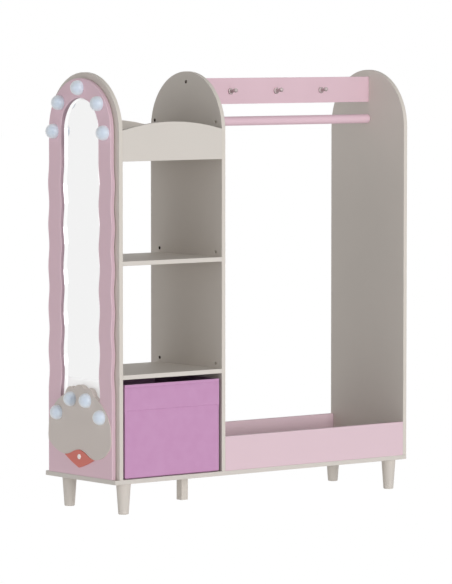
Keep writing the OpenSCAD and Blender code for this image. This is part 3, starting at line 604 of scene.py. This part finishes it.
def frosted():
    """Frosted polycarbonate, pale blue all through: light enters, scatters and leaves beside where
    it fell, so that shades are soft. Its rim is painted near white where it is seen side on, a
    painted sheen, and a faint emission is a painted glow, standing for the light that the hollow
    dome gathers from all round."""
    material, tree, place = new_material("frosted pale blue polycarbonate")
    blast = add(tree, "TexNoise", {"Vector": place, "Scale": 1000 / 2.5, "Detail": 1})
    milk = add(tree, "TexNoise", {"Vector": place, "Scale": 1000 / 16, "Detail": 1})
    tone = add(tree, "ValToRGB", {"Fac": milk.outputs["Fac"]})
    tone.color_ramp.elements[0].color = linear("#cad7e6")
    tone.color_ramp.elements[1].color = linear("#d3e0ee")
    # The rim is painted near white where the surface is seen side on: a painted sheen.
    rim = add(tree, "LayerWeight", {"Blend": 0.35})
    painted_rim_light = add(tree, "Math", {0: rim.outputs["Facing"], 1: 1.3}, operation="MULTIPLY", use_clamp=True)
    blue_with_painted_rim = add(tree, "Mix", {0: painted_rim_light.outputs[0], 6: tone.outputs[0], 7: linear("#fbfdff")},
               data_type="RGBA")
    bump = add(tree, "Bump", {"Height": blast.outputs["Fac"], "Strength": 0.15, "Distance": 0.05 * mm})
    # The faint emission is a painted glow; the bulbs are no lamps.
    shader = add(tree, "BsdfPrincipled", {"Base Color": blue_with_painted_rim.outputs[2], "Roughness": 0.45,
                                          "Subsurface Weight": 0.25, "Subsurface Scale": 6 * mm,
                                          "Subsurface Radius": (1, 1, 1), "Normal": bump.outputs[0],
                                          "IOR": 1.58, "Coat Weight": 1.0, "Coat Roughness": 0.5,
                                          "Emission Color": blue_with_painted_rim.outputs[2], "Emission Strength": 0.02})
    finish_with(tree, shader.outputs[0])
    return material


frosted_plastic = frosted()
for node in sorted(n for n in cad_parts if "_bulb_" in n):
    low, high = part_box(node)
    middle = (low + high) / 2 / mm
    on_shell = node.startswith("shell")
    foot_x = shell_face_x if on_shell else frame_face_x
    skirt = shell_bulb_skirt if on_shell else frame_bulb_skirt
    bulb = turned(node + "_dome", (foot_x, middle.y, middle.z), (-1, 0, 0),
                  dome_profile(bulb_radius, skirt, bulb_height), sides=56)
    soften(bulb, weighted=False)
    dress(bulb, frosted_plastic, "unit", "bulb_plastic", node)

# ---- Coat hooks ----------------------------------------------------------------------------------
# Three hooks cast in zinc, each a disc with a neck that leans up to a ball, brushed and plated in
# satin nickel, and screwed on from behind the hook board.
hook_face_y, plan_disc_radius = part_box("hook_board")[0].y / mm, 11.5
hook_lean, lean_from, lean_over, lean_pivot = math.radians(8), 4 * mm, 5 * mm, 2
ball_radius, ball_out = 6.3, 22


def satin_nickel():
    """Satin nickel plate over a brushed casting: a warm grey metal with fine brush lines round the
    hook, drawn 1 mm apart, which is coarser than the real ones so that they show."""
    material, tree, place = new_material("satin nickel plate")
    lines = add(tree, "TexNoise", {"Vector": place, "Scale": 1000 / 1.0, "Detail": 2})
    rough = add(tree, "MapRange", {"Value": lines.outputs["Fac"], "To Min": 0.58, "To Max": 0.7})
    bump = add(tree, "Bump", {"Height": lines.outputs["Fac"], "Strength": 0.1, "Distance": 0.03 * mm})
    shader = add(tree, "BsdfPrincipled", {"Base Color": linear("#bdb1b1"), "Metallic": 1.0,
                                          "Roughness": rough.outputs[0], "Normal": bump.outputs[0]})
    finish_with(tree, shader.outputs[0])
    return material


nickel = satin_nickel()
ball_turns = [math.radians(a) for a in range(-52, 89, 10)]
hook_disc = [(8.3, 0), (8.7, 0.5), (8.7, 2.9), (8.4, 3.6), (7.8, 4.0), (6.4, 4.1)]
hook_neck = [(5.6, 4.7), (5.2, 6.2), (4.6, 9), (3.9, 13.5)]
hook_ball = [(ball_radius * math.cos(turn), ball_out + ball_radius * math.sin(turn))
             for turn in ball_turns]
for node in ("coat_hook_left", "coat_hook_middle", "coat_hook_right"):
    low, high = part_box(node)
    disc = Vector(((low.x + high.x) / 2 / mm, hook_face_y, low.z / mm + plan_disc_radius))
    hook = turned(node + "_cast", disc, (0, -1, 0), hook_disc + hook_neck + hook_ball, sides=40)
    pivot = Vector((disc.x, hook_face_y - lean_pivot, disc.z)) * mm
    for vertex in hook.data.vertices:
        out = hook_face_y * mm - vertex.co.y - lean_from
        lean = hook_lean * max(0, min(1, out / lean_over))
        vertex.co = pivot + Matrix.Rotation(-lean, 3, "X") @ (vertex.co - pivot)
    soften(hook, weighted=False)
    dress(hook, nickel, "unit", "hook_metal", node)

# ---- Storage bin ---------------------------------------------------------------------------------
# A box of card walls covered in lilac non-woven fabric and lined with lilac painted darker, as the
# shade inside it, with 71 mm of the fabric folded down over the rim and sewn. It stands on a covered
# board, set in from its walls, which end a little above the floor. A loose, lined board lies in its
# bottom.
bin_low, bin_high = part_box("storage_bin")
bin_corner, net_pitch = 2.4 * mm, 9 * mm
body_wall, body_slack, body_edge = 2.2 * mm, 0.22 * mm, 2.0 * mm
wall_lift, rim_fold = 2.4 * mm, 3 * mm
hem_depth, hem_step, hem_pitch, hem_rise = 71 * mm, 0.8 * mm, 6 * mm, 7 * mm
hem_wall, hem_slack, hem_edge = 4.4 * mm, 0.15 * mm, 0.7 * mm
top_seam_down, low_seam_up, seam_reach, seam_sunk = 8.3 * mm, 1.8 * mm, 1.4 * mm, 0.9 * mm
underside_inset, underside_overlap, bottom_arris = 12 * mm, 0.4 * mm, 0.6 * mm


def round_edges(piece, wanted, radius, segments, clamp=True):
    """Rounds those edges of a piece that a test picks."""
    alone(piece)
    bpy.ops.object.mode_set(mode="EDIT")
    bpy.ops.mesh.select_mode(type="EDGE")
    bpy.ops.mesh.select_all(action="DESELECT")
    net = bmesh.from_edit_mesh(piece.data)
    for edge in net.edges:
        edge.select_set(wanted(edge))
    bmesh.update_edit_mesh(piece.data)
    bpy.ops.mesh.bevel(offset=radius, segments=segments, profile=0.5, affect="EDGES", clamp_overlap=clamp)
    bpy.ops.object.mode_set(mode="OBJECT")


def is_upright(edge):
    """Whether an edge stands between two walls."""
    return abs(edge.verts[0].co.z - edge.verts[1].co.z) > 1 * mm


def turns_sharply(edge):
    """Whether an edge joins two faces at a corner."""
    return len(edge.link_faces) == 2 and edge.calc_face_angle(0) > math.radians(60)


def block(name, low, high):
    """A plain block between two corners, to be worked on."""
    bpy.ops.object.select_all(action="DESELECT")
    bpy.ops.mesh.primitive_cube_add(size=1, location=(low + high) / 2, scale=high - low)
    piece = bpy.context.active_object
    piece.name = name
    bpy.ops.object.transform_apply(location=True, rotation=True, scale=True)
    return piece


def fabric_ring(name, low, high, corner, keep_bottom):
    """Four fabric walls with round corners, and a bottom if asked for, open in edit mode."""
    ring = block(name, low, high)
    bpy.ops.object.mode_set(mode="EDIT")
    bpy.ops.mesh.select_all(action="DESELECT")
    net = bmesh.from_edit_mesh(ring.data)
    for face in net.faces:
        face.select_set(face.normal.z > 0.5 or face.normal.z < -0.5 and not keep_bottom)
    bmesh.update_edit_mesh(ring.data)
    bpy.ops.mesh.delete(type="FACE")
    round_edges(ring, is_upright, corner, 6, clamp=False)
    bpy.ops.object.mode_set(mode="EDIT")
    return ring


def give_wall(piece, thickness):
    """Gives a fabric shell its thickness inwards, with the lining as its inner face."""
    piece.data.materials.append(lilac)
    piece.data.materials.append(lining)
    wall = piece.modifiers.new("wall", "SOLIDIFY")
    wall.thickness = thickness
    wall.offset = -1
    wall.use_even_offset = True
    wall.material_offset = 1
    alone(piece)
    bpy.ops.object.modifier_apply(modifier=wall.name)


def spaced(low, high, pitch):
    """Places between two values, about a pitch apart."""
    count = round((high - low) / pitch)
    return [low + (high - low) * i / count for i in range(1, count)]


def non_woven():
    """Spun-bonded polypropylene: matt lilac felt, embossed with dots 2 mm apart, with loose fibres
    that catch a little light at the edges and clouds where the fleece is thinner."""
    material, tree, place = new_material("lilac non-woven fabric")
    dots = add(tree, "TexVoronoi", {"Vector": place, "Scale": 1000 / 2.0, "Randomness": 0.25})
    fibre = add(tree, "TexNoise", {"Vector": place, "Scale": 1000 / 0.8, "Detail": 3})
    clouds = add(tree, "TexNoise", {"Vector": place, "Scale": 1000 / 30, "Detail": 4})
    tone = add(tree, "ValToRGB", {"Fac": clouds.outputs["Fac"]})
    tone.color_ramp.elements[0].position = 0.25
    tone.color_ramp.elements[1].position = 0.75
    tone.color_ramp.elements[0].color = linear("#cc97c1")
    tone.color_ramp.elements[1].color = linear("#d09dc6")
    height = add(tree, "Math", {0: fibre.outputs["Fac"], 1: 0.4}, operation="MULTIPLY")
    height = add(tree, "Math", {0: dots.outputs["Distance"], 1: height.outputs[0]}, operation="ADD")
    bump = add(tree, "Bump", {"Height": height.outputs[0], "Strength": 0.4, "Distance": 0.2 * mm})
    shader = add(tree, "BsdfPrincipled", {"Base Color": tone.outputs[0], "Roughness": 0.88,
                                          "Sheen Weight": 0.15, "Sheen Roughness": 0.5,
                                          "Normal": bump.outputs[0]})
    finish_with(tree, shader.outputs[0])
    return material


def shaded_lining_card():
    """Grey card lined with the same fabric, painted a darker lilac as shade, with its embossed dots."""
    material, tree, place = new_material("lilac lining on card, painted darker as shade")
    dots = add(tree, "TexVoronoi", {"Vector": place, "Scale": 1000 / 2.0, "Randomness": 0.25})
    tone = add(tree, "ValToRGB", {"Fac": dots.outputs["Distance"]})
    tone.color_ramp.elements[0].color = linear("#84627e")
    tone.color_ramp.elements[1].color = linear("#94728e")
    shader = add(tree, "BsdfPrincipled", {"Base Color": tone.outputs[0], "Roughness": 0.9})
    finish_with(tree, shader.outputs[0])
    return material


def puckered(point, out, amount):
    """A wall's point moved in or out by the slack of the fabric, in waves of 55 and 18 mm."""
    slack = noise.noise(point / (55 * mm)) + 0.5 * noise.noise(point / (18 * mm) + Vector((7, 3, 5)))
    return point + out * slack * amount


def wall_direction(point, low, high):
    """The way out of the wall that a point lies in."""
    middle = (low + high) / 2
    half = (high - low) / 2
    across = (point.x - middle.x) / (half.x - bin_corner)
    along = (point.y - middle.y) / (half.y - bin_corner)
    out = Vector((0, 0, 0))
    if abs(across) > 1:
        out.x = math.copysign(1, across)
    if abs(along) > 1:
        out.y = math.copysign(1, along)
    return out.normalized() if out.length else out


def at_body_foot(edge):
    """Whether an edge runs round the foot of the bin's walls."""
    return turns_sharply(edge) and all(abs(c.co.z - body_low.z) < 0.3 * mm for c in edge.verts)


# The lining is painted a darker lilac, as the shade inside the bin.
lilac, lining = non_woven(), shaded_lining_card()
body_low = bin_low + Vector((hem_step, hem_step, wall_lift))
body_high = bin_high - Vector((hem_step, hem_step, rim_fold))
body = fabric_ring("bin_body", body_low, body_high, bin_corner - hem_step, True)
cut_net(0, spaced(body_low.x + bin_corner, body_high.x - bin_corner, net_pitch))
cut_net(1, spaced(body_low.y + bin_corner, body_high.y - bin_corner, net_pitch))
cut_net(2, spaced(body_low.z, body_high.z, net_pitch))
bpy.ops.object.mode_set(mode="OBJECT")
for vertex in body.data.vertices:
    rise = (vertex.co.z - body_low.z) / (body_high.z - body_low.z)
    free = math.sin(math.pi * min(1, max(0, rise)))
    out = wall_direction(vertex.co, body_low, body_high)
    vertex.co = puckered(vertex.co, out, body_slack * free)
give_wall(body, body_wall)
round_edges(body, at_body_foot, body_edge, 3, clamp=False)
soften(body, angle=50, weighted=False)
dress(body, lilac, "bin", "lilac_fabric", "storage_bin")

under_low = bin_low + Vector((underside_inset, underside_inset, 0))
under_high = bin_high - Vector((underside_inset, underside_inset, 0))
under_high.z = bin_low.z + wall_lift + underside_overlap
underside = block("bin_underside", under_low, under_high)
round_edges(underside, turns_sharply, hem_edge, 3)
soften(underside)
dress(underside, lilac, "bin", "lilac_fabric")

hem_low = Vector((bin_low.x, bin_low.y, bin_high.z - hem_depth))
hem = fabric_ring("bin_hem", hem_low, bin_high, bin_corner, False)
cut_net(0, spaced(bin_low.x + bin_corner, bin_high.x - bin_corner, hem_pitch))
cut_net(1, spaced(bin_low.y + bin_corner, bin_high.y - bin_corner, hem_pitch))
top_seam, low_seam = bin_high.z - top_seam_down, hem_low.z + low_seam_up
cut_net(2, [seam + side * seam_reach for seam in (top_seam, low_seam) for side in (-1, 0, 1)])
cut_net(2, spaced(low_seam + seam_reach, top_seam - seam_reach, hem_rise))
bpy.ops.object.mode_set(mode="OBJECT")
for vertex in hem.data.vertices:
    out = wall_direction(vertex.co, bin_low, bin_high)
    in_seam = min(abs(vertex.co.z - top_seam), abs(vertex.co.z - low_seam)) < 0.5 * mm
    vertex.co = puckered(vertex.co, out, hem_slack)
    if in_seam:
        vertex.co -= out * seam_sunk
give_wall(hem, hem_wall)
round_edges(hem, turns_sharply, hem_edge, 2)
soften(hem, angle=50, weighted=False)
dress(hem, lilac, "bin", "lilac_fabric")

stitch_pitch, stitch_length, thread = 4.0 * mm, 2.9 * mm, 0.7 * mm


def stitched_row(start, end, out):
    """A row of stitches from start to end: one stitch, a little proud of its seam, and its copies."""
    along = (end - start).normalized()
    bpy.ops.object.select_all(action="DESELECT")
    bpy.ops.mesh.primitive_uv_sphere_add(segments=8, ring_count=6, radius=thread / 2)
    row = bpy.context.active_object
    stretch = stitch_length / thread
    row.scale = (stretch, 1, 1) if abs(along.x) > 0.5 else (1, stretch, 1)
    row.location = start + along * stitch_pitch / 2 + out * 0.1 * mm
    bpy.ops.object.transform_apply(location=True, rotation=True, scale=True)
    repeat = row.modifiers.new("stitches", "ARRAY")
    repeat.count = int((end - start).length / stitch_pitch)
    repeat.use_relative_offset = False
    repeat.use_constant_offset = True
    repeat.constant_offset_displace = along * stitch_pitch
    bpy.ops.object.modifier_apply(modifier=repeat.name)
    return row


def sewing_thread():
    """Polyester thread, a shade darker than the fabric, with a twist of 1 mm."""
    material, tree, place = new_material("lilac polyester thread")
    twist = add(tree, "TexWave", {"Vector": place, "Scale": 1000 / 1.0 / 6.28, "Distortion": 0.5},
                bands_direction="DIAGONAL")
    tone = add(tree, "ValToRGB", {"Fac": twist.outputs["Fac"]})
    tone.color_ramp.elements[0].color = linear("#9d6e94")
    tone.color_ramp.elements[1].color = linear("#b888ae")
    shader = add(tree, "BsdfPrincipled", {"Base Color": tone.outputs[0], "Roughness": 0.6})
    finish_with(tree, shader.outputs[0])
    return material


row_low = bin_low + Vector((bin_corner, bin_corner, 0))
row_high = bin_high - Vector((bin_corner, bin_corner, 0))
rows = []
for z in (top_seam, low_seam):
    for y, way in ((bin_low.y + seam_sunk, -1), (bin_high.y - seam_sunk, 1)):
        start, end = Vector((row_low.x, y, z)), Vector((row_high.x, y, z))
        rows.append(stitched_row(start, end, Vector((0, way, 0))))
    for x, way in ((bin_low.x + seam_sunk, -1), (bin_high.x - seam_sunk, 1)):
        start, end = Vector((x, row_low.y, z)), Vector((x, row_high.y, z))
        rows.append(stitched_row(start, end, Vector((way, 0, 0))))
bpy.ops.object.select_all(action="DESELECT")
for row in rows:
    row.select_set(True)
bpy.context.view_layer.objects.active = rows[0]
bpy.ops.object.join()
stitching = bpy.context.active_object
stitching.name = "bin_stitching"
soften(stitching, weighted=False)
dress(stitching, sewing_thread(), "bin", "lilac_fabric")

bin_board = cut_from_plan("bin_base_board", "bin_bottom_board")
sand_arrises(bin_board, bottom_arris)
dress(bin_board, lining, "bin", "bin_card", "bin_base_board")

# ---- Fixings -------------------------------------------------------------------------------------
# Cam locks cast in zinc, with bolts and screws of zinc-plated steel, and dowels of beech. They sit
# in their bores as the plan has them.


def zinc_plate():
    """Zinc: a cool grey metal, dulled by handling, with a spangle of about 2 mm."""
    material, tree, place = new_material("zinc")
    spangle = add(tree, "TexVoronoi", {"Vector": place, "Scale": 1000 / 2.0})
    tone = add(tree, "ValToRGB", {"Fac": spangle.outputs["Distance"]})
    tone.color_ramp.elements[0].color = linear("#c3c7cb")
    tone.color_ramp.elements[1].color = linear("#aeb2b7")
    rough = add(tree, "MapRange", {"Value": spangle.outputs["Distance"], "To Min": 0.3, "To Max": 0.48})
    shader = add(tree, "BsdfPrincipled", {"Base Color": tone.outputs[0], "Metallic": 1.0,
                                          "Roughness": rough.outputs[0]})
    finish_with(tree, shader.outputs[0])
    return material


def bare_beech():
    """Beech, planed: pale pinkish wood with flecks of 0.5 by 4 mm along the grain."""
    material, tree, place = new_material("bare beech")
    grain = add(tree, "Mapping", {"Vector": place, "Scale": (1000 / 4, 1000 / 0.5, 1000 / 0.5)})
    fleck = add(tree, "TexNoise", {"Vector": grain.outputs[0], "Scale": 1.0, "Detail": 2})
    tone = add(tree, "ValToRGB", {"Fac": fleck.outputs["Fac"]})
    tone.color_ramp.elements[0].color = linear("#c9ac82")
    tone.color_ramp.elements[1].color = linear("#e2cfa9")
    shader = add(tree, "BsdfPrincipled", {"Base Color": tone.outputs[0], "Roughness": 0.65})
    finish_with(tree, shader.outputs[0])
    return material


zinc, beech = zinc_plate(), bare_beech()
for node in ("cam_locks", "cam_bolts", "base_screws", "mirror_screws", "hook_screws", "foot_bolts",
             "dowels"):
    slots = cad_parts[node].data.materials
    slots.clear()
    slots.append(beech if node == "dowels" else zinc)

# ---- Studio --------------------------------------------------------------------------------------
# A white floor that glows a little, and a white sky that is dimmer overhead. A key light comes
# straight from the front, and a broad fill from the left. The camera stands where the photograph's
# perspective puts it, turned down and aside by degrees.
floor_share, floor_white, floor_grey, floor_glow = 0.94, 1.03, 0.9, 0.8
sky_low, sky_high, sky_span = 0.51, 0.2, 0.7
lamps = {"key": {"comes_from": (-0.03, -1.0, 0.12), "energy": 1.38, "spread": 16},
         "fill": {"comes_from": (-1.0, -0.05, 0.1), "energy": 0.66, "spread": 50}}
focal_pixels, picture_height, sensor = 3879.9, 584, 36
camera_place, camera_down, camera_aside = (-6.5787, -8.2737, 1.28105), 3.878, 38.495


def white_where_seen(tree, lit, lit_from, share, brightness):
    """Mixes a shader with plain white for what the camera sees, straight or by reflection."""
    path = add(tree, "LightPath")
    seen = path.outputs["Is Camera Ray"]
    for ray in ("Is Glossy Ray", "Is Transmission Ray"):
        seen = add(tree, "Math", {0: seen, 1: path.outputs[ray]}, operation="MAXIMUM").outputs[0]
    seen = add(tree, "Math", {0: seen, 1: share}, operation="MULTIPLY").outputs[0]
    white = add(tree, lit_from, {"Color": (1, 1, 1, 1), "Strength": brightness})
    return add(tree, "MixShader", {0: seen, 1: lit, 2: white.outputs[0]}).outputs[0]


bpy.ops.object.select_all(action="DESELECT")
bpy.ops.mesh.primitive_plane_add(size=60)
floor = bpy.context.active_object
floor.name = "studio_floor"
floor_paint, floor_tree, _ = new_material("white studio floor")
matt = add(floor_tree, "BsdfDiffuse", {"Color": (floor_grey, floor_grey, floor_grey, 1)})
bounce = add(floor_tree, "Emission", {"Color": (1, 1, 1, 1), "Strength": floor_glow})
pale = add(floor_tree, "MixShader", {0: 0.5, 1: matt.outputs[0], 2: bounce.outputs[0]})
floor_light = white_where_seen(floor_tree, pale.outputs[0], "Emission", floor_share, floor_white)
finish_with(floor_tree, floor_light)
floor.data.materials.append(floor_paint)

sky = bpy.data.worlds.new("studio sky")
bpy.context.scene.world = sky
sky.use_nodes = True
sky_tree = sky.node_tree
sky_tree.nodes.clear()
way_up = add(sky_tree, "SeparateXYZ", {0: add(sky_tree, "NewGeometry").outputs["Position"]})
dimmed = add(sky_tree, "MapRange", {"Value": way_up.outputs[2], "From Max": sky_span,
                                    "To Min": sky_low, "To Max": sky_high})
ambient = add(sky_tree, "Background", {"Color": (1, 1, 1, 1), "Strength": dimmed.outputs[0]})
sky_light = white_where_seen(sky_tree, ambient.outputs[0], "Background", 1.0, 1.0)
add(sky_tree, "OutputWorld", {"Surface": sky_light})

for name, lamp in lamps.items():
    sun = bpy.data.lights.new(name, "SUN")
    sun.energy = lamp["energy"]
    sun.angle = math.radians(lamp["spread"])
    light = bpy.data.objects.new(name, sun)
    light.rotation_euler = Vector(lamp["comes_from"]).to_track_quat("Z", "Y").to_euler()
    bpy.context.scene.collection.objects.link(light)

lens = bpy.data.cameras.new("camera")
lens.sensor_width = sensor
lens.lens = focal_pixels * sensor / picture_height
lens.clip_end = 100
camera = bpy.data.objects.new("camera", lens)
camera.location = camera_place
camera.rotation_euler = (math.radians(90 - camera_down), 0, math.radians(-camera_aside))
bpy.context.scene.collection.objects.link(camera)
bpy.context.scene.camera = camera
bpy.context.scene.view_settings.view_transform = "Standard"
